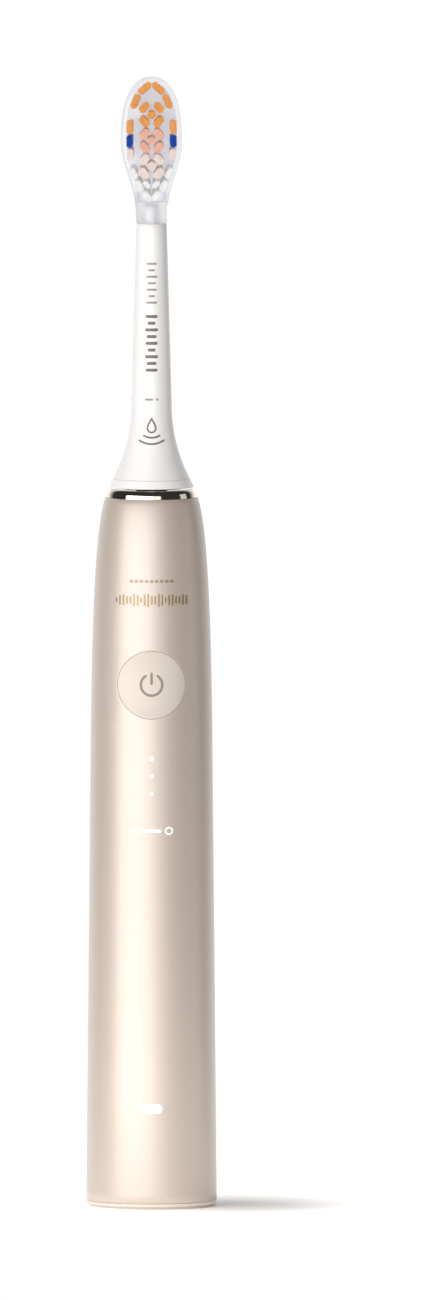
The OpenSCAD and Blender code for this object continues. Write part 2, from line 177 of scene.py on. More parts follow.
def make_camera():
    """Camera of the photograph: almost level, and so far away that it has no perspective."""
    data = bpy.data.cameras.new("view_camera")
    data.type = "ORTHO"
    data.ortho_scale = VIEW_HEIGHT
    data.clip_end = 20
    camera = bpy.data.objects.new("view_camera", data)
    back = Vector((0, -math.cos(VIEW_ELEVATION), math.sin(VIEW_ELEVATION)))
    camera.location = VIEW_TARGET + back * VIEW_DISTANCE
    camera.rotation_euler = (math.pi / 2 - VIEW_ELEVATION, 0, 0)
    bpy.context.scene.collection.objects.link(camera)
    bpy.context.scene.camera = camera


def area_light(name, azimuth, height, distance, width, tall, power, mirrored=True):
    """Soft light that faces the handle. Azimuth 0 is the front and -90 the left, in degrees."""
    data = bpy.data.lights.new(name, "AREA")
    data.shape = "RECTANGLE"
    data.size, data.size_y = width, tall
    data.energy = power
    lamp = bpy.data.objects.new(name, data)
    a = math.radians(azimuth)
    lamp.location = (distance * math.sin(a), -distance * math.cos(a), height)
    aim = Vector((0, 0, 0.12)) - lamp.location
    lamp.rotation_euler = aim.to_track_quat("-Z", "Y").to_euler()
    lamp.visible_camera = False
    lamp.visible_glossy = mirrored
    bpy.context.scene.collection.objects.link(lamp)


def make_world():
    """White where it is seen directly, bright behind the object and dim in front of it."""
    world = bpy.data.worlds.new("studio")
    bpy.context.scene.world = world
    world.use_nodes = True
    tree = world.node_tree
    tree.nodes.clear()
    link = tree.links.new

    def node(kind):
        return tree.nodes.new("ShaderNode" + kind)

    def background(strength):
        shine = node("Background")
        shine.inputs["Color"].default_value = (1, 1, 1, 1)
        shine.inputs["Strength"].default_value = strength
        return shine

    def rear_bright(front, rear):
        ramp = node("MapRange")
        ramp.interpolation_type = "SMOOTHSTEP"
        for socket, value in (("From Min", 0.35), ("From Max", 0.85), ("To Min", front),
                              ("To Max", rear)):
            ramp.inputs[socket].default_value = value
        link(split.outputs["Y"], ramp.inputs["Value"])
        shine = background(1.0)
        link(ramp.outputs["Result"], shine.inputs["Strength"])
        return shine.outputs[0]

    def mixed(factor, a, b):
        mix = node("MixShader")
        link(factor, mix.inputs[0])
        link(a, mix.inputs[1])
        link(b, mix.inputs[2])
        return mix.outputs[0]

    split = node("SeparateXYZ")
    link(node("TexCoord").outputs["Generated"], split.inputs[0])
    path = node("LightPath")
    lit = mixed(path.outputs["Is Glossy Ray"], rear_bright(0.28, 0.9), rear_bright(0.03, 1.1))
    lit = mixed(path.outputs["Is Transmission Ray"], lit, rear_bright(0.8, 1.0))
    lit = mixed(path.outputs["Is Camera Ray"], lit, background(1.03).outputs[0])
    link(lit, node("OutputWorld").inputs["Surface"])


def make_floor():
    """White floor that runs into the white background, with a painted shadow streak beside the
    object's base.
    """
    bpy.ops.mesh.primitive_circle_add(vertices=FINE_TURN, radius=0.17, fill_type="NGON")
    floor = bpy.context.object
    floor.name = "floor"
    floor.location.z = -0.1 * MM
    floor.data.materials.append(floor_painted_shadow("floor_painted_shadow"))


def make_studio():
    """World, floor and lights of the photograph's white studio."""
    scene = bpy.context.scene
    scene.view_settings.view_transform = "Standard"
    make_world()
    make_floor()
    area_light("key_left", -32, 0.15, 0.8, 1.1, 0.55, 6.6)
    area_light("fill_front", 12, 0.18, 1.0, 0.4, 0.6, 0.9)
    area_light("top_front", -20, 0.75, 0.6, 0.5, 0.4, 1.6, mirrored=False)
    area_light("card_right", 88, 0.16, 0.7, 0.25, 0.5, 0.25)


# ---- materials

def linear(r, g, b):
    """Linear colour from 0 to 255 display values."""
    def one(v):
        v /= 255
        return v / 12.92 if v <= 0.04045 else ((v + 0.055) / 1.055) ** 2.4
    return one(r), one(g), one(b)


class Shader:
    """A Principled material with the node helpers that the materials below share."""

    def __init__(self, name, **values):
        self.mat = bpy.data.materials.new(name)
        self.mat.use_nodes = True
        self.tree = self.mat.node_tree
        self.bsdf = self.tree.nodes["Principled BSDF"]
        self.coords = self.tree.nodes.new("ShaderNodeTexCoord")
        for key, value in values.items():
            socket = self.bsdf.inputs[key.replace("_", " ")]
            wide = isinstance(value, tuple) and len(socket.default_value) == 4
            socket.default_value = (*value, 1) if wide else value

    def node(self, kind, inputs=None, **values):
        made = self.tree.nodes.new("ShaderNode" + kind)
        for key, value in values.items():
            setattr(made, key, value)
        for key, value in (inputs or {}).items():
            if isinstance(value, bpy.types.NodeSocket):
                self.tree.links.new(value, made.inputs[key])
            else:
                made.inputs[key].default_value = value
        return made

    def place(self, stretch=(1, 1, 1)):
        """Object coordinates, in metres, scaled per axis."""
        if stretch == (1, 1, 1):
            return self.coords.outputs["Object"]
        inputs = {"Vector": self.coords.outputs["Object"], "Scale": stretch}
        return self.node("Mapping", inputs).outputs[0]

    def along(self, axis):
        """The object coordinate along one axis, in metres."""
        return self.node("SeparateXYZ", {0: self.place()}).outputs[axis]

    def noise(self, size, detail=2.0, stretch=(1, 1, 1)):
        """Noise with features of about the given size, in millimetres."""
        made = self.node("TexNoise", {"Vector": self.place(stretch), "Scale": 1 / (size * MM),
                                      "Detail": detail})
        return made.outputs["Fac"]

    def cells(self, size):
        """One random grey value for each cell of the given size, in millimetres."""
        made = self.node("TexVoronoi", {"Vector": self.place(), "Scale": 1 / (size * MM)})
        return self.node("SeparateColor", {0: made.outputs["Color"]}).outputs[0]

    def bands(self, axis, pitch, distortion=0.0):
        """Sine bands across one axis, with the given pitch in millimetres."""
        made = self.node("TexWave", {"Vector": self.place(), "Scale": math.pi / (10 * pitch * MM),
                                     "Distortion": distortion}, bands_direction=axis)
        return made.outputs["Fac"]

    def ramp(self, value, low, high, source=(0.3, 0.7)):
        made = self.node("MapRange", {"Value": value, "From Min": source[0], "From Max": source[1],
                                      "To Min": low, "To Max": high})
        return made.outputs["Result"]

    def mix(self, factor, a, b):
        made = self.node("Mix", data_type="RGBA")
        self.tree.links.new(factor, made.inputs["Factor"])
        for slot, value in ((6, a), (7, b)):
            if isinstance(value, bpy.types.NodeSocket):
                self.tree.links.new(value, made.inputs[slot])
            else:
                made.inputs[slot].default_value = (*value, 1)
        return made.outputs[2]

    def link(self, value, socket):
        self.tree.links.new(value, self.bsdf.inputs[socket])

    def bump(self, value, height):
        """Bump of the given height, in millimetres."""
        made = self.node("Bump", {"Height": value, "Distance": height * MM, "Strength": 1.0})
        self.link(made.outputs[0], "Normal")


def shade(color, factor):
    """A colour made darker or lighter."""
    return tuple(min(1.0, c * factor) for c in color)


def floor_painted_shadow(name):
    """Matt white whose glow is dimmest just right of the object and grows with the distance from
    there: a painted shadow streak beside the base.
    """
    m = Shader(name, Base_Color=(0.9, 0.868, 0.835), Roughness=0.9, Specular_IOR_Level=0.1,
               Emission_Color=(1, 1, 1))
    # Painted shadow: the emission stays low by the base's right side and rises to full further out.
    reach = m.node("VectorMath", {0: m.place(), 1: (0.021, 0.002, 0)}, operation="DISTANCE")
    fade = m.node("MapRange", {"Value": reach.outputs["Value"], "From Min": 0.0, "From Max": 0.036,
                               "To Min": 0.03, "To Max": 0.62}, interpolation_type="SMOOTHSTEP")
    m.link(fade.outputs["Result"], "Emission Strength")
    return m.mat


def plastic(name, color, rough=0.35, spread=0.04, grain=0.4, grain_height=0.004, **values):
    """Moulded plastic: soft colour drift, fine grain and uneven gloss."""
    m = Shader(name, **values)
    m.link(m.mix(m.noise(6), shade(color, 1 - spread), shade(color, 1 + spread)), "Base Color")
    m.link(m.ramp(m.noise(1.5, 3), rough * 0.9, rough * 1.12), "Roughness")
    m.bump(m.noise(grain, 3), grain_height)
    return m.mat


def metal(name, color, rough=0.3, stretch=(1, 1, 12), size=0.5, height=0.002):
    """Worked metal with a directional grain."""
    m = Shader(name, Metallic=1.0)
    grain = m.noise(size, 3, stretch)
    m.link(m.mix(grain, shade(color, 0.92), shade(color, 1.05)), "Base Color")
    m.link(m.ramp(grain, rough * 0.75, rough * 1.3), "Roughness")
    m.bump(grain, height)
    return m.mat


def winding(name, color, axis, pitch):
    """Enamelled wire laid in rows, with painted shade in the grooves between them."""
    m = Shader(name, Metallic=0.85, Coat_Weight=0.5, Coat_Roughness=0.15)
    rows = m.bands(axis, pitch)
    # The dark bands are painted shade in the grooves between the rows of wire.
    m.link(m.mix(rows, shade(color, 0.45), shade(color, 1.1)), "Base Color")
    m.link(m.ramp(m.noise(0.8), 0.22, 0.36), "Roughness")
    m.bump(rows, 0.08)
    return m.mat


def champagne_lacquer(name, color, rough, metallic, coat):
    """Metallic lacquer: very fine flakes under a thin clear coat."""
    m = Shader(name, Metallic=metallic, Coat_Weight=coat, Coat_Roughness=0.36, Coat_IOR=1.9)
    flakes = m.cells(0.09)
    drift = m.mix(m.noise(14), shade(color, 0.985), shade(color, 1.015))
    m.link(m.mix(m.ramp(flakes, 0.0, 1.0, (0, 1)), shade(color, 0.93), drift), "Base Color")
    m.link(m.ramp(flakes, rough * 0.88, rough * 1.1, (0, 1)), "Roughness")
    m.bump(m.noise(0.5, 2), 0.0012)
    return m.mat


def clear_plastic(name, color, rough, clouded):
    """Clear moulded plastic with faint flow marks, clouded below a range of heights."""
    m = Shader(name, Transmission_Weight=1.0, IOR=1.42)
    m.link(m.mix(m.noise(4), shade(color, 0.97), color), "Base Color")
    veil = m.ramp(m.along("Z"), 0.5, 0.0, (clouded[0] * MM, clouded[1] * MM))
    marks = m.ramp(m.noise(2), rough * 0.7, rough * 1.3)
    m.link(m.node("Math", {0: marks, 1: veil}, operation="ADD").outputs[0], "Roughness")
    m.bump(m.noise(3, 1), 0.004)
    return m.mat


def glow(name, color, strength, rough=0.3, fade=None):
    """Lit diffuser. fade gives the heights, in millimetres, between which the light weakens."""
    m = Shader(name, Emission_Color=color, Emission_Strength=strength)
    m.link(m.mix(m.noise(0.6), shade(color, 0.9), color), "Base Color")
    m.link(m.ramp(m.noise(0.4), rough * 0.8, rough * 1.2), "Roughness")
    if fade:
        dimmed = m.ramp(m.along("Z"), strength * 0.25, strength, (fade[0] * MM, fade[1] * MM))
        m.link(dimmed, "Emission Strength")
    return m.mat


def nylon(name, color, dark=0.85, painted_glow=0.05):
    """Bristle nylon: each filament a little different, with painted shade that darkens it towards
    its root and a painted glow that lifts it.
    """
    # The emission is a painted glow that brightens the bristles.
    m = Shader(name, IOR=1.5, Emission_Color=color, Emission_Strength=painted_glow)
    # Painted shade: the colour darkens towards the root, deep among the bristles, by the share
    # dark.
    painted_root_shade = m.ramp(m.along("Y"), 0.0, 1.0, (-8 * MM, -1 * MM))
    fibre = m.mix(m.cells(0.35), shade(color, 0.93), shade(color, 1.04))
    m.link(m.mix(painted_root_shade, fibre, shade(color, dark)), "Base Color")
    m.link(m.ramp(m.noise(0.3), 0.3, 0.45), "Roughness")
    return m.mat


def circuit(name, color, trace):
    """Solder mask with copper traces showing through."""
    m = Shader(name, Coat_Weight=0.4, Coat_Roughness=0.2)
    rows = m.ramp(m.bands("X", 1.1, 3.0), 0.0, 1.0, (0.75, 0.85))
    m.link(m.mix(rows, color, trace), "Base Color")
    m.link(m.ramp(m.noise(1.0), 0.3, 0.45), "Roughness")
    m.bump(rows, 0.02)
    return m.mat


CHAMPAGNE = (0.63, 0.528, 0.45)
GOLD = (0.40, 0.30, 0.17)

MATERIALS = {
    "lacquer": champagne_lacquer("champagne_lacquer", CHAMPAGNE, 0.5, 0.3, 0.8),
    "button": champagne_lacquer("button_lacquer", (0.67, 0.60, 0.52), 0.58, 0.3, 0.08),
    "polished": metal("polished_metal", (0.90, 0.82, 0.72), 0.07, height=0.0003),
    "gold": plastic("gold_print", GOLD, 0.4, 0.06, Metallic=0.55),
    "taupe": plastic("taupe_print", linear(138, 128, 115), 0.5),
    # The pearl print's emission is a painted glow that lifts it above the casing's tone.
    "pearl": plastic("pearl_print", linear(253, 250, 244), 0.3, Emission_Color=(1, 0.98, 0.95),
                     Emission_Strength=0.03),
    "dim_print": plastic("bronze_print", linear(168, 150, 128), 0.4, 0.06, Metallic=0.4),
    "white": plastic("white_gloss", linear(235, 231, 228), 0.34, 0.012, 0.6, 0.0008,
                     Coat_Weight=0.25, Coat_Roughness=0.12),
    "trim": plastic("neck_trim", linear(238, 235, 232), 0.3, 0.012, 0.6, 0.0008,
                    Coat_Weight=0.25, Coat_Roughness=0.12),
    "grey_print": plastic("grey_print", linear(112, 110, 108), 0.5, 0.1),
    "light_grey_print": plastic("light_grey_print", linear(150, 148, 146), 0.5, 0.1),
    "clear": clear_plastic("clear_plastic", (0.87, 0.878, 0.90), 0.1, (225, 228)),
    "carrier": plastic("tuft_carrier", (0.94, 0.945, 0.99), 0.4, 0.01, Transmission_Weight=0.85),
    "foot": champagne_lacquer("foot_lacquer", shade(CHAMPAGNE, 0.9), 0.42, 0.4, 0.2),
    "band": glow("ring_diffuser", linear(226, 211, 200), 0.03, 0.25),
    "mode_glow": glow("mode_lights", (0.97, 0.94, 0.89), 0.18, fade=(MODE_Z[0], MODE_Z[2])),
    "battery_glow": glow("battery_light", (1, 1, 1), 0.45),
    "steel": metal("ground_steel", (0.62, 0.63, 0.65), 0.22),
    "lamination": metal("laminated_steel", (0.36, 0.37, 0.39), 0.4, (1, 1, 30), 0.4, 0.01),
    "magnet": metal("nickel_plate", (0.72, 0.71, 0.70), 0.14, height=0.0006),
    "copper_rows": winding("coil_wire", (0.80, 0.36, 0.15), "Z", 0.3),
    "copper_rings": winding("charging_wire", (0.80, 0.36, 0.15), "Z", 0.4),
    "copper": metal("bare_copper", (0.84, 0.42, 0.22), 0.25),
    "brass": metal("turned_brass", (0.75, 0.58, 0.30), 0.24),
    "gold_pins": metal("gold_plate", (0.86, 0.66, 0.28), 0.16),
    "nickel": metal("nickel_strip", (0.70, 0.69, 0.66), 0.3, (12, 1, 1)),
    "cast": metal("cast_frame", (0.52, 0.53, 0.55), 0.5, (1, 1, 1), 0.35, 0.02),
    "chassis": plastic("chassis_plastic", (0.50, 0.51, 0.53), 0.5, 0.04, 0.3, 0.02),
    "dark": plastic("dark_plastic", (0.025, 0.025, 0.03), 0.42, 0.15, 0.3, 0.01),
    "grey": plastic("grey_plastic", (0.24, 0.25, 0.27), 0.42, 0.08, 0.3, 0.01),
    "red": plastic("red_plastic", (0.52, 0.06, 0.04), 0.38, 0.08),
    "dark_rubber": plastic("dark_rubber", (0.018, 0.018, 0.02), 0.7, 0.2, 0.25, 0.02),
    "grey_rubber": plastic("grey_rubber", (0.16, 0.165, 0.175), 0.65, 0.1, 0.25, 0.015),
    "cell": plastic("cell_wrap", (0.03, 0.14, 0.33), 0.28, 0.1, Coat_Weight=0.4),
    "board": circuit("solder_mask", (0.006, 0.075, 0.032), (0.05, 0.20, 0.09)),
    "flex": plastic("flex_film", (0.50, 0.20, 0.025), 0.35, 0.12),
    "ceramic": plastic("ceramic", (0.42, 0.30, 0.17), 0.5, 0.12),
    "led": glow("led_epoxy", (0.95, 0.88, 0.62), 0.4),
    "ferrite": plastic("ferrite", (0.035, 0.035, 0.04), 0.6, 0.2, 0.2, 0.03),
    # The third value is the painted shade at the root, the fourth the painted glow.
    "orange": nylon("orange_nylon", linear(255, 202, 122), 0.72),
    "blue": nylon("blue_nylon", linear(0, 100, 205), 0.7),
    "salmon": nylon("salmon_nylon", linear(255, 219, 202)),
    "pale": nylon("pale_nylon", linear(255, 243, 237)),
    "white_nylon": nylon("white_nylon", linear(250, 250, 250), 0.88, 0.07),
}

# The CAD nodes that stay, by the material they get
CAD_FINISHES = {
    "dark": "nose_bush coil_bobbin board_chips switch_body",
    "grey": "charging_bobbin shaft_socket",
    "red": "switch_plunger",
    "chassis": "chassis",
    "dark_rubber": "vibration_damper end_cap_seal",
    "grey_rubber": "shaft_seal button_membrane",
    "steel": "upper_bearing lower_bearing drive_shaft torsion_rod retaining_spring",
    "lamination": "stator_core rotor_hub",
    "magnet": "rotor_magnets",
    "cast": "motor_frame",
    "brass": "spring_anchor",
    "nickel": "battery_tabs",
    "copper": "antenna_ring coil_leads",
    "copper_rows": "stator_coil",
    "copper_rings": "charging_coil",
    "ferrite": "ferrite_ring",
    "gold_pins": "board_header",
    "board": "circuit_board base_board id_chip",
    "flex": "antenna_flex",
    "ceramic": "board_capacitors",
    "cell": "battery_cell",
    "led": "status_leds ring_leds",
    "battery_glow": "battery_window",
    "carrier": "tuft_plate",
}


# ---- mesh helpers

def outward_mesh(name, verts, faces):
    """Mesh from points in millimetres, with every face turned outwards."""
    mesh = bpy.data.meshes.new(name)
    mesh.from_pydata([(x * MM, y * MM, z * MM) for x, y, z in verts], [], faces)
    bm = bmesh.new()
    bm.from_mesh(mesh)
    bmesh.ops.recalc_face_normals(bm, faces=bm.faces)
    bm.to_mesh(mesh)
    bm.free()
    return mesh


def add_piece(name, verts, faces, finish, body, slot, replaces=(), sharp=40):
    """Makes one piece that rides on a body, smooth where faces meet below sharp degrees."""
    mesh = outward_mesh(name, verts, faces)
    mesh.materials.append(MATERIALS[finish])
    mesh.shade_smooth()
    mesh.set_sharp_from_angle(angle=math.radians(sharp))
    piece = bpy.data.objects.new(name, mesh)
    bpy.context.scene.collection.objects.link(piece)
    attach(piece, body)
    if replaces:
        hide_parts(*replaces)
    return piece


def turns(segments):
    """Equally spaced angles round a circle."""
    return [2 * math.pi * j / segments for j in range(segments)]


def band(a, b):
    """Faces between two closed rings of equally many point numbers."""
    return [(a[j], a[(j + 1) % len(a)], b[(j + 1) % len(a)], b[j]) for j in range(len(a))]


def skin(rows, loop=False):
    """Faces between rows of equally many points, each a closed ring. loop joins last to first."""
    count, width = len(rows), len(rows[0])
    rings = [range(i * width, (i + 1) * width) for i in range(count)]
    return [face for i in range(count if loop else count - 1)
            for face in band(rings[i], rings[(i + 1) % count])]


def merge(verts, faces, more):
    """Adds the points and faces of another body to verts and faces."""
    more_verts, more_faces = more
    faces += [tuple(len(verts) + i for i in face) for face in more_faces]
    verts += more_verts


def closed_skin(rows):
    """Points and faces of a body with a flat fan over its first and its last row."""
    verts = [p for row in rows for p in row]
    faces = skin(rows)
    width = len(rows[0])
    for start in (0, (len(rows) - 1) * width):
        ring = verts[start:start + width]
        centre = tuple(sum(p[k] for p in ring) / width for k in range(3))
        verts.append(centre)
        faces += [(start + j, start + (j + 1) % width, len(verts) - 1) for j in range(width)]
    return verts, faces


def rounded(outline, radius, steps=4):
    """Closed outline with its corners rounded."""
    out = []
    for i, point in enumerate(outline):
        before, here = Vector(outline[i - 1]), Vector(point)
        after = Vector(outline[(i + 1) % len(outline)])
        u, v = before - here, after - here
        start = here + u * min(radius / u.length, 0.45)
        end = here + v * min(radius / v.length, 0.45)
        for t in (k / steps for k in range(steps + 1)):
            out.append(tuple(start * (1 - t) ** 2 + here * 2 * t * (1 - t) + end * t * t))
    return out


def spun(outline, angles):
    """Rows of points of an outline of (radius, height), turned to each angle from the front."""
    return [[(r * math.sin(a), -r * math.cos(a), z) for a in angles] for r, z in outline]


def lathe(outline, segments=96):
    """Ring-shaped body from a closed outline of (radius, height)."""
    rows = spun(outline, turns(segments))
    return [p for row in rows for p in row], skin(rows, loop=True)


def solid_lathe(outline, segments=96):
    """Body from an open outline that starts and ends near the axis."""
    return closed_skin(spun(outline, turns(segments)))


# ---- casing

FINE = 0.4
FRONT_COLUMNS = 24
BACK_COLUMNS = 56


def pill_point(width, height, angle):
    """Where a ray at the angle leaves a pill shape of the given size about its centre."""
    c, s = math.cos(angle), math.sin(angle)
    r, half = height / 2, (width - height) / 2
    if abs(s) > 1e-9 and abs(c / s) * r <= half:
        reach = r / abs(s)
    else:
        reach = half * abs(c) + math.sqrt(max(0.0, r * r - half * half * s * s))
    return reach * c, reach * s


def casing_holes():
    """Height, opening size, rounding, and the patch around each opening, in columns and rows."""
    hole_d = 2 * (BUTTON_R + BUTTON_GAP)
    holes = [{"z": BUTTON_Z, "size": (hole_d, hole_d), "rim": 0.07, "cols": 24, "rows": 24}]
    for z in MODE_Z:
        holes.append({"z": z, "size": (1.15, 1.15), "rim": 0.05, "cols": 4, "rows": 4})
    holes.append({"z": BATTERY_Z, "size": (4.75, 2.05), "rim": 0.05, "cols": 9, "rows": 5})
    return sorted(holes, key=lambda h: h["z"])


def casing_heights(holes, low, high):
    """Row heights from low to high, fine beside each opening and coarse between them."""
    heights, coarse = [low], 1.8
    for hole in holes + [None]:
        stop = high if hole is None else hole["z"] - hole["rows"] * FINE
        count = max(1, round((stop - heights[-1]) / coarse))
        start = heights[-1]
        heights += [start + (stop - start) * k / count for k in range(1, count + 1)]
        if hole:
            hole["first"] = len(heights) - 1
            heights += [stop + FINE * k for k in range(1, 2 * hole["rows"] + 1)]
        coarse = 1.0 if heights[-1] > TAPER_Z else 1.8
    return heights


def casing_outline(heights, edge):
    """Closed outline of the casing's wall, and the number of the inner row at the lowest height."""
    inner = [z for z in heights if z < CEILING_Z - 0.3]
    outline = [(casing_r(z), z) for z in heights]
    outline += [(SHOULDER_R - edge, SHOULDER_Z), (NOSE_R + 0.1, SHOULDER_Z),
                (NOSE_R, SHOULDER_Z - 0.1), (NOSE_R, CEILING_Z),
                (casing_r(CEILING_Z) - WALL, CEILING_Z)]
    outline += [(casing_r(z) - WALL, z) for z in reversed(inner)]
    lowest_inner = len(outline) - 1
    outline += [(BASE_R - WALL, shell_low.z), (BASE_R - edge, shell_low.z)]
    return outline, lowest_inner


def patch_span(hole):
    """Rows and columns of the grid that a hole's patch takes up."""
    return (range(hole["first"], hole["first"] + 2 * hole["rows"]),
            range(FRONT_COLUMNS - hole["cols"], FRONT_COLUMNS + hole["cols"]))


def patch_loop(hole, width, mirror=None):
    """Point numbers round a hole's patch, counter-clockwise from its lower left corner. For the
    patch inside the wall, mirror is the sum of an outer row's number and its inner row's."""
    rows, cols = patch_span(hole)
    path = [(rows[0], c) for c in cols]
    path += [(r, cols[-1] + 1) for r in rows]
    path += [(rows[-1] + 1, c + 1) for c in reversed(cols)]
    path += [(r + 1, cols[0]) for r in reversed(rows)]
    return [(r if mirror is None else mirror - r) * width + c for r, c in path]


def opening_rings(hole, border):
    """Rings of points from a patch's border over the hole's rounded rim and through the wall."""
    (w, h), rim, mid = hole["size"], hole["rim"], hole["z"]
    rays = [math.atan2(z - mid, x) for x, z in border]
    rings = []
    for t in (0.3, 0.6, 0.85, 1.0):
        edge = [pill_point(w + 2 * rim, h + 2 * rim, a) for a in rays]
        flat = [(bx + (x - bx) * t, bz + (mid + z - bz) * t)
                for (bx, bz), (x, z) in zip(border, edge)]
        rings.append([(x, casing_y(x, z), z) for x, z in flat])
    for k in range(1, 5):
        turn = math.pi / 2 * k / 4
        grow, sink = rim * (1 - math.sin(turn)), rim * (1 - math.cos(turn))
        flat = [pill_point(w + 2 * grow, h + 2 * grow, a) for a in rays]
        rings.append([(x, casing_y(x, mid + z) + sink, mid + z) for x, z in flat])
    flat = [pill_point(w, h, a) for a in rays]
    rings.append([(x, -math.sqrt((casing_r(mid + z) - WALL) ** 2 - x * x), mid + z)
                  for x, z in flat])
    return rings


def build_casing():
    """The lacquered casing: a closed shell with rounded openings for the button and the lights."""
    edge = 0.12
    holes = casing_holes()
    heights = casing_heights(holes, shell_low.z + edge, SHOULDER_Z - edge)
    front = [math.asin(k * FINE / casing_r(BUTTON_Z))
             for k in range(-FRONT_COLUMNS, FRONT_COLUMNS + 1)]
    span = 2 * math.pi - 2 * front[-1]
    angles = front + [front[-1] + span * k / BACK_COLUMNS for k in range(1, BACK_COLUMNS)]
    width = len(angles)
    outline, lowest_inner = casing_outline(heights, edge)
    wall = spun(outline, angles)
    verts = [point for row in wall for point in row]
    skipped = set()
    for hole in holes:
        rows, cols = patch_span(hole)
        skipped |= {(r, c) for row in rows for r in (row, lowest_inner - row - 1) for c in cols}
    faces = [face for n, face in enumerate(skin(wall, loop=True))
             if divmod(n, width) not in skipped]
    for hole in holes:
        rings = [patch_loop(hole, width)]
        for points in opening_rings(hole, [(verts[v][0], verts[v][2]) for v in rings[0]]):
            rings.append(range(len(verts), len(verts) + len(points)))
            verts += points
        rings.append(patch_loop(hole, width, lowest_inner))
        for a, b in zip(rings, rings[1:]):
            faces += band(a, b)
    add_piece("casing", verts, faces, "lacquer", "handle", "champagne_lacquer",
              ["handle_shell"], 50)


def build_collar():
    """Polished ring at the shoulder, rounded over towards the neck."""
    flat_r, start, steps = 9.5, ring_low.z + 0.04, 20
    outline = [(NOSE_R, ring_low.z)]
    outline += [(flat_r + (ring_high.x - flat_r) * math.cos(a),
                 start + (ring_high.z - start) * math.sin(a))
                for a in (math.pi / 2 * k / steps for k in range(steps + 1))]
    outline += [(NOSE_R + 0.1, ring_high.z), (NOSE_R, ring_high.z - 0.1)]
    add_piece("polished_collar", *lathe(outline, FINE_TURN), "polished", "handle", "polished_metal",
              ["collar_ring"], 50)


def build_foot():
    """Foot with the recess for a charging post, and the plug that closes the casing."""
    ring_z, steps = band_low.z - 0.02, 8
    recess_r, recess_h, cup_r, cup_top, floor_z = 5.0, 9.0, 6.5, 10.5, 2.0
    groove_r, groove_low, groove_high, inner_r = PLUG_R - 1, 5.4, 6.6, PLUG_R - 1.3
    outline = [(AXIS_R, recess_h), (recess_r - 0.4, recess_h), (recess_r - 0.1, recess_h - 0.1),
               (recess_r, recess_h - 0.4), (recess_r, 0.4), (recess_r + 0.1, 0.1),
               (recess_r + 0.4, 0.0)]
    outline += [(corner_r(z), z) for z in (ring_z * k / steps for k in range(steps + 1))]
    outline += [(PLUG_R, ring_z), (PLUG_R, groove_low), (groove_r, groove_low),
                (groove_r, groove_high), (PLUG_R, groove_high), (PLUG_R, cap_high.z),
                (inner_r, cap_high.z), (inner_r, floor_z), (cup_r, floor_z),
                (cup_r, cup_top - 0.2), (cup_r - 0.2, cup_top), (AXIS_R, cup_top)]
    add_piece("foot", *solid_lathe(outline, FINE_TURN), "foot", "handle", "foot_plastic",
              ["end_cap"])


def build_light_ring():
    """The thin clear ring above the foot, with a skirt inside the casing's wall."""
    low, top, edge, steps = band_low.z, band_high.z, shell_low.z - 0.05, 8
    skirt_r = BASE_R - WALL - 0.15
    outline = [(PLUG_R + 0.1, low)]
    outline += [(corner_r(z) - 0.04, z) for z in (low + (edge - 0.1 - low) * k / steps
                                                  for k in range(steps + 1))]
    outline += [(BASE_R - 0.14, edge), (skirt_r, edge), (skirt_r, top - 0.1),
                (skirt_r - 0.1, top), (PLUG_R + 0.25, top), (PLUG_R + 0.15, top - 0.1)]
    add_piece("base_light_ring", *lathe(outline, FINE_TURN), "band", "handle", "diffuser",
              ["light_ring"])


# ---- button and lights

def build_button():
    """Power button with a shallow finger dish and a rounded rim."""
    back_r, back_y, steps = 11.9, -11.4, 14
    flat = BUTTON_CAP_R - BUTTON_FILLET
    profile = [(flat * k / steps, 0.0) for k in range(1, steps + 1)]
    for k in range(1, 6):
        turn = math.pi / 2 * k / 5
        profile.append((flat + BUTTON_FILLET * math.sin(turn),
                        BUTTON_FILLET * (1 - math.cos(turn))))

    def ring(reach):
        return [(reach * math.cos(a), BUTTON_Z + reach * math.sin(a)) for a in turns(96)]

    rows = [[(x, button_y(x, z) + sink, z) for x, z in ring(reach)] for reach, sink in profile]
    rows += [[(x, -math.sqrt(back_r * back_r - x * x), z) for x, z in ring(reach)]
             for reach in (BUTTON_CAP_R, BUTTON_R * 0.5, 1.6)]
    rows.append([(x, back_y, z) for x, y, z in rows[-1]])
    add_piece("power_button_cap", *closed_skin(rows), "button", "button", "button_lacquer",
              ["power_button"])


def build_mode_lights():
    """Three small domed lenses on one light guide behind the wall."""
    verts, faces = [], []
    dome = ((0.12, 0.04), (0.3, 0.035), (0.45, 0.015), (MODE_R, -0.06))
    back_y = guide_high.y
    plate_y, root_y, half = back_y - 0.98, back_y - 0.9, 1.2
    for mid in MODE_Z:
        rows = [[(reach * math.cos(a), casing_y(0, mid) - rise, mid + reach * math.sin(a))
                 for a in turns(24)] for reach, rise in dome]
        rows.append([(x, root_y, z) for x, y, z in rows[-1]])
        merge(verts, faces, closed_skin(rows))
    outline = rounded([(-half, guide_low.z), (half, guide_low.z), (half, guide_high.z),
                       (-half, guide_high.z)], 0.8)
    merge(verts, faces, closed_skin([[(x, y, z) for x, z in outline] for y in (plate_y, back_y)]))
    add_piece("mode_light_lenses", verts, faces, "mode_glow", "handle", "diffuser",
              ["mode_light_guide"])


# ---- printed and inlaid marks

def stroke_end(sample, width, sign):
    """Samples of a stroke's round end, before its first one with sign -1, after its last with 1."""
    point, along, _ = sample
    return [(point + along * sign * t * width / 2, along, max(0.02, math.sqrt(1 - t * t)))
            for t in (math.sin(math.pi / 2 * k / 4) for k in range(1, 5))]


def stroke_samples(points, width, closed):
    """Places along a stroke, each with its direction and its share of the width."""
    path = [Vector(p) for p in points]
    samples = []
    for i, p in enumerate(path):
        before = path[i - 1] if i or closed else p
        after = path[(i + 1) % len(path)] if i < len(path) - 1 or closed else p
        samples.append((p, (after - before).normalized(), 1.0))
    if closed:
        return samples
    return stroke_end(samples[0], width, -1)[::-1] + samples + stroke_end(samples[-1], width, 1)


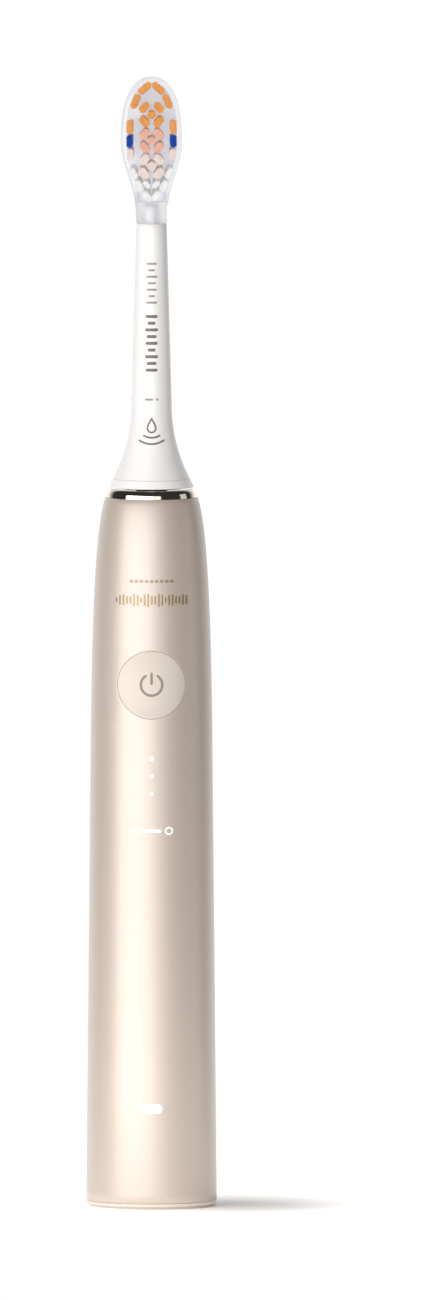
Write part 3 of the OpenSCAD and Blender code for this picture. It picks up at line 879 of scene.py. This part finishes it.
def stroke(points, width, surface, height, closed=False):
    """A thin ribbon with round ends that lies on a surface, along points of (x, z)."""
    across, sunk, buried = 6, 0.002, 0.03
    rows = []
    for p, along, share in stroke_samples(points, width, closed):
        side = Vector((-along.y, along.x))
        top, under = [], []
        for s in (2 * k / across - 1 for k in range(across + 1)):
            q = p + side * s * share * width / 2
            rise = height * (1 - s ** 6) * min(1.0, share * 1.5) - sunk
            top.append((q.x, surface(q.x, q.y) - rise, q.y))
            under.insert(0, (q.x, surface(q.x, q.y) + buried, q.y))
        rows.append(top + under)
    verts, faces = [v for row in rows for v in row], skin(rows, closed)
    for a in () if closed else (0, len(verts) - len(rows[0])):
        b = a + 2 * across + 1
        faces += [(a + k, b - k, b - k - 1, a + k + 1) for k in range(across)]
    return verts, faces


def add_marks(name, strokes, surface, finish, body, slot, height=0.03):
    """One piece from several strokes, each (points, width) or (points, width, True) for a loop."""
    verts, faces = [], []
    for points, width, *closed in strokes:
        merge(verts, faces, stroke(points, width, surface, height, bool(closed)))
    add_piece(name, verts, faces, finish, body, slot)


def line(x0, z0, x1, z1, steps=6):
    """Points along a straight line."""
    return [(x0 + (x1 - x0) * k / steps, z0 + (z1 - z0) * k / steps) for k in range(steps + 1)]


def arc_line(x, z, radius, start, end, steps=40):
    """Arc about (x, z) from start to end, in degrees from the upright, clockwise."""
    return [(x + radius * math.sin(math.radians(a)), z + radius * math.cos(math.radians(a)))
            for a in (start + (end - start) * k / steps for k in range(steps + 1))]


def build_marks():
    """Power symbol on the button, and plain marks on the casing in place of lettering."""
    symbol_r = 2.4
    add_marks("power_symbol", [
        (arc_line(0, BUTTON_Z, symbol_r, 34, 326), 0.6),
        (line(0, BUTTON_Z + 0.25, 0, BUTTON_Z + symbol_r + 0.1), 0.6),
    ], button_y, "taupe", "button", "button_lacquer", 0.02)
    bars, count, span, mid = [], 21, 15.6, BUTTON_Z + 19.0
    for k in range(count):
        share = k / (count - 1) - 0.5
        tall = 0.35 + 1.0 * abs(math.sin(k * 0.9)) * (1 - 0.8 * abs(share))
        bars.append((line(span * share, mid - tall, span * share, mid + tall), 0.46))
    add_marks("waveform_inlay", bars, casing_y, "gold", "handle", "polished_metal")
    dots_z = mid + 4.2
    dots = [(line(x - 0.1, dots_z, x + 0.1, dots_z, 2), 0.72)
            for x in (-4.5 + 9.0 * k / 8 for k in range(9))]
    add_marks("dotted_print", dots, casing_y, "dim_print", "handle", "champagne_lacquer", 0.015)
    label_z = MODE_Z[0] - 8.35
    add_marks("mode_label_print", [
        (line(-4.4, label_z, 1.9, label_z, 16), 0.72),
        (arc_line(3.9, label_z, 0.75, 0, 351), 0.36, True),
    ], casing_y, "pearl", "handle", "champagne_lacquer", 0.015)


def dashes(halves, top, pitch, count, width):
    """A column of level dashes, whose half lengths repeat in turn."""
    return [(line(-halves[k % 4], top - k * pitch, halves[k % 4], top - k * pitch), width)
            for k in range(count)]


def build_neck_marks():
    """Dashes and a water drop on the neck, in place of lettering."""
    def add(name, strokes, finish):
        add_marks(name, strokes, neck_y, finish, "brush_head", "white_gloss")

    upper_z, lower_z, small_z, drop_z, arcs_z = 211.4, 199.6, 181.0, 175.2, 176.2
    add("neck_print_upper", dashes((0.9, 0.5, 1.0, 0.7), upper_z, 1.45, 7, 0.5), "light_grey_print")
    add("neck_print_lower", dashes((0.99, 0.55, 1.1, 0.77), lower_z, 1.5, 9, 0.72), "grey_print")
    add("neck_print_small", [(line(-1.3, small_z, 0.1, small_z), 0.5),
                             (line(1.2, small_z, 1.35, small_z, 2), 0.5)], "light_grey_print")
    drop = [(1.25 * math.sin(a) * math.sin(a / 2) ** 1.3, drop_z + 1.55 * math.cos(a))
            for a in turns(48)]
    add("drop_print", [(drop, 0.42, True), (arc_line(0, arcs_z, 3.7, 152, 208, 16), 0.45),
                       (arc_line(0, arcs_z, 5.1, 148, 212, 16), 0.45)], "grey_print")


# ---- neck and head

def build_neck():
    """White neck, hollow below for the drive shaft, with the pin that holds the clear stem."""
    bore_r, cavity_top, bore_top, steps = 3.25, 165.05, 187.5, 60
    z0, z1, pin_top = neck_low.z, NECK_TOP, neck_high.z
    outer = [(neck_r(z), z)
             for z in (z0 + (z1 - z0) * (k / steps) ** 1.3 for k in range(steps + 1))]
    outer[-1] = (outer[-1][0] - 0.25, z1)
    outer.insert(-1, (outer[-2][0] - 0.03, z1 - 0.3))
    outline = [(AXIS_R, bore_top), (bore_r, bore_top), (bore_r, cavity_top),
               (CAVITY_R, cavity_top), (CAVITY_R, z0 + 0.1), (CAVITY_R + 0.1, z0),
               (outer[0][0] - 0.03, z0)] + outer[1:]
    outline += [(PIN_R, z1), (PIN_R, pin_top - 0.3), (PIN_R - 0.3, pin_top), (AXIS_R, pin_top)]
    add_piece("white_neck", *solid_lathe(outline), "white", "brush_head", "white_gloss",
              ["brush_neck"], 50)


def build_neck_lip():
    """Trim ring at the foot of the neck."""
    low, high, bevel, steps = lip_low.z, lip_high.z, 0.12, 8
    outline = [(CAVITY_R, low + bevel), (CAVITY_R + bevel, low), (neck_r(low) - 0.14, low)]
    outline += [(neck_r(z), z) for z in (low + bevel + (high - 0.15 - low) * k / steps
                                         for k in range(steps + 1))]
    outline += [(neck_r(high) - 0.03, high), (CAVITY_R, high)]
    add_piece("neck_lip", *lathe(outline), "trim", "brush_head", "neck_trim",
              ["neck_base_ring"], 50)


def head_section(z, inset=0.0):
    """One ring of the clear head at height z: round at the stem, a flat oval further up."""
    blend = min(1.0, max(0.0, (z - HEAD_NARROW) / BLEND_H))
    blend = blend * blend * (3 - 2 * blend)
    half_t = (plate_high.y + 1.0) / 2
    end = min(1.0, max(0.0, (z - HEAD_MID) / (HEAD_TOP - HEAD_MID)))
    close = (1 - end ** 14) ** (1 / 2.5)
    wide = head_half_width(z) - inset
    deep = (STEM_R + (half_t * close - STEM_R) * blend) - inset
    middle = (plate_high.y - half_t) * blend
    power = 2 / (2 + 1.6 * blend)
    return [(wide * math.copysign(abs(math.cos(a)) ** power, math.cos(a)),
             middle + deep * math.copysign(abs(math.sin(a)) ** power, math.sin(a)), z)
            for a in turns(64)]


def carrier_outline():
    """Outline of the tuft carrier's pocket, as (x, z), drawn in from the head's own outline."""
    low, high, segments = carrier_low.z - 0.05, HEAD_TOP - CARRIER_MARGIN, 72
    right = []
    for k in range(segments + 1):
        z = low + (high - low) * (0.5 - 0.5 * math.cos(math.pi * k / segments))
        if z > HEAD_MID:
            u = min(1.0, (z - HEAD_MID) / (high - HEAD_MID))
            x = (HEAD_R - CARRIER_MARGIN) * (1 - u ** ROUND_POWER) ** (1 / ROUND_POWER)
        else:
            x = head_half_width(z) - CARRIER_MARGIN
        right.append((max(0.0, x), z))
    return right + [(-x, z) for x, z in reversed(right[:-1])]


def head_cutter():
    """What the head is cut out with: the carrier's pocket, and the hole for the neck's pin."""
    hole_r = PIN_R + 0.04
    verts, faces = closed_skin([[(x, y, z) for x, z in carrier_outline()]
                                for y in (-8.0, carrier_high.y + 0.05)])
    merge(verts, faces, closed_skin([[(hole_r * math.cos(a), hole_r * math.sin(a), z)
                                      for a in turns(48)]
                                     for z in (plate_low.z - 2, neck_high.z + 0.15)]))
    cutter = bpy.data.objects.new("pocket_cutter", outward_mesh("pocket_cutter", verts, faces))
    bpy.context.scene.collection.objects.link(cutter)
    return cutter


def cut_away(piece, cutter, sharp):
    """Takes the cutter's volume out of a piece."""
    boolean = piece.modifiers.new("pocket", "BOOLEAN")
    boolean.operation = "DIFFERENCE"
    boolean.solver = "EXACT"
    boolean.object = cutter
    bpy.context.view_layer.update()
    graph = bpy.context.evaluated_depsgraph_get()
    result = bpy.data.meshes.new_from_object(piece.evaluated_get(graph))
    piece.modifiers.clear()
    piece.data = result
    result.shade_smooth()
    result.set_sharp_from_angle(angle=math.radians(sharp))
    bpy.data.objects.remove(cutter)


def build_head():
    """Clear oval head with its stem and the pocket that holds the tuft carrier."""
    first = plate_low.z + 0.12
    heights = [plate_low.z] + [first + (HEAD_NARROW - first) * k / 4 for k in range(5)]
    heights += [HEAD_NARROW + (HEAD_MID - HEAD_NARROW) * k / 26 for k in range(1, 27)]
    heights += [HEAD_MID + (HEAD_TOP - HEAD_MID) * math.sin(math.pi / 2 * k / 30) * 0.99999
                for k in range(1, 31)]
    rows = [head_section(z, 0.1 if k == 0 else 0.0) for k, z in enumerate(heights)]
    head = add_piece("clear_head", *closed_skin(rows), "clear", "brush_head", "clear_plastic",
                     ["head_plate"], 60)
    cut_away(head, head_cutter(), 40)


# ---- bristles

FILAMENT_R = 0.085
FILAMENT_PITCH = 0.15
LEAN = 0.11
CORE_TOP = 0.93
TIP_DOME = 0.5
FAN_MIDDLE = (0.16, 0.22)
FAN_RIM = (0.32, 0.16)
ROW_STEP = 0.866
JITTER = 0.02
TIP_SHIFT = 0.05
TUFT_GROUPS = (("orange", "tufts_orange", "orange_nylon"), ("blue", "tufts_blue", "blue_nylon"),
               ("salmon", "tufts_salmon", "salmon_nylon"), ("pale", "tufts_pale", "pale_nylon"),
               ("white_nylon", "tufts_white", "white_nylon"))


def tuft_shapes(node):
    """Centre, direction, length and width of each separate tuft in a CAD node, in millimetres."""
    bm = bmesh.new()
    bm.from_mesh(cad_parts[node].data)
    bmesh.ops.remove_doubles(bm, verts=bm.verts, dist=1e-6)
    waiting, shapes = set(bm.verts), []
    while waiting:
        stack, island = [waiting.pop()], []
        while stack:
            vert = stack.pop()
            island.append((vert.co.x / MM, vert.co.z / MM))
            for e in vert.link_edges:
                other = e.other_vert(vert)
                if other in waiting:
                    waiting.remove(other)
                    stack.append(other)
        cx, cz = ((min(values) + max(values)) / 2 for values in zip(*island))
        flat = [(x - cx, z - cz) for x, z in island]
        turn = 0.5 * math.atan2(2 * sum(x * z for x, z in flat),
                                sum(x ** 2 for x, _ in flat) - sum(z ** 2 for _, z in flat))
        c, s = math.cos(turn), math.sin(turn)
        along = [x * c + z * s for x, z in flat]
        across = [z * c - x * s for x, z in flat]
        shapes.append((cx, cz, turn, max(along) - min(along), max(across) - min(across)))
    bm.free()
    return sorted(shapes, key=lambda t: (round(t[1], 3), round(t[0], 3)))


def filament(path, radius, spin):
    """One bristle: rings about the first three points of its path, and a tip at the fourth."""
    sides = 5
    verts = [(x + radius * share * math.cos(spin + a), y, z + radius * share * math.sin(spin + a))
             for (x, y, z), share in zip(path, (0.85, 1.0, 0.85)) for a in turns(sides)]
    rings = [range(i * sides, (i + 1) * sides) for i in range(3)]
    faces = band(rings[0], rings[1]) + band(rings[1], rings[2])
    faces += [(rings[2][j], rings[2][(j + 1) % sides], len(verts)) for j in range(sides)]
    return verts + [path[3]], faces + [tuple(reversed(rings[0]))]


class Tuft:
    """Where one tuft stands and how it leans and fans out from its root to its tip."""

    def __init__(self, shape, root_y, tip_y):
        self.cx, self.cz, turn, self.length, self.wide = shape
        self.c, self.s = math.cos(turn), math.sin(turn)
        self.root_y, self.tip_y = root_y, tip_y
        self.far_out = min(1.0, math.hypot(self.cx / HEAD_R, (self.cz - HEAD_MID) / FIELD_HALF_H))
        self.fan = [a + (b - a) * self.far_out for a, b in zip(FAN_MIDDLE, FAN_RIM)]

    def point(self, u, v, t, shift=(0, 0), drop=0.0):
        """A point at (u, v) along and across the root, a share t of the way to the tip."""
        bend = t ** 1.5
        lean = LEAN * self.far_out * bend
        u *= 1 + 2 * self.fan[0] * bend / self.length
        v *= 1 + 2 * self.fan[1] * bend / self.wide
        x = self.cx * (1 + lean) + u * self.c - v * self.s + shift[0] * bend
        z = self.cz + (self.cz - HEAD_MID) * lean + u * self.s + v * self.c + shift[1] * bend
        return x, self.root_y + (self.tip_y + drop - self.root_y) * t, z

    def core(self):
        """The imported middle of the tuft, just under the tips of its bristles."""
        half, r = (self.length - self.wide) / 2, self.wide / 2 - 2 * FILAMENT_R
        outline = [(math.copysign(half, math.cos(a)) + r * math.cos(a), r * math.sin(a))
                   for a in turns(24)]
        drop = TIP_DOME * (1 - self.far_out)
        rows = [[self.point(u, v, t, drop=drop) for u, v in outline]
                for t in (0.0, 0.4, 0.8, CORE_TOP)]
        return closed_skin(rows)


def bristles(tuft, rng):
    """One tuft's bristles, in staggered rows. Only the outer ones reach down to the root."""
    half = (tuft.length - tuft.wide) / 2
    edge = tuft.wide / 2 - FILAMENT_R * 0.6
    rows = int(tuft.wide / FILAMENT_PITCH / ROW_STEP) + 2
    cols = int(tuft.length / FILAMENT_PITCH) + 2
    for i in range(-rows, rows + 1):
        for j in range(-cols, cols + 1):
            u, v = (j + 0.5 * (i % 2)) * FILAMENT_PITCH, i * FILAMENT_PITCH * ROW_STEP
            reach = math.hypot(max(0.0, abs(u) - half), v)
            if reach > edge:
                continue
            u += rng.uniform(-JITTER, JITTER)
            v += rng.uniform(-JITTER, JITTER)
            shift = (rng.uniform(-TIP_SHIFT, TIP_SHIFT), rng.uniform(-TIP_SHIFT, TIP_SHIFT))
            drop = TIP_DOME * (1 - tuft.far_out) + rng.uniform(0, 0.16)
            start = 0.0 if reach > edge - 0.22 else 0.8
            path = [tuft.point(u, v, t, shift, drop) for t in (start, 0.9, 0.991, 1.0)]
            yield filament(path, FILAMENT_R, rng.uniform(0, 6.28))


def build_tufts():
    """Bundles of fine bristles in the place of each CAD tuft, leaning outwards from the middle."""
    rng = random.Random(7)
    for finish, node, slot in TUFT_GROUPS:
        verts, faces = [], []
        low, high = corners(node)
        for shape in tuft_shapes(node):
            tuft = Tuft(shape, high.y, low.y)
            merge(verts, faces, tuft.core())
            for bristle in bristles(tuft, rng):
                merge(verts, faces, bristle)
        add_piece("bristles_" + finish, verts, faces, finish, "brush_head", slot, [node])


def finish_cad_nodes():
    """Gives every CAD node that stays its own material."""
    for finish, nodes in CAD_FINISHES.items():
        for node in nodes.split():
            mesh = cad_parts[node].data
            mesh.materials.clear()
            mesh.materials.append(MATERIALS[finish])


make_camera()
make_studio()
finish_cad_nodes()
build_casing()
build_collar()
build_foot()
build_light_ring()
build_button()
build_mode_lights()
build_marks()
build_neck_marks()
build_neck()
build_neck_lip()
build_head()
build_tufts()
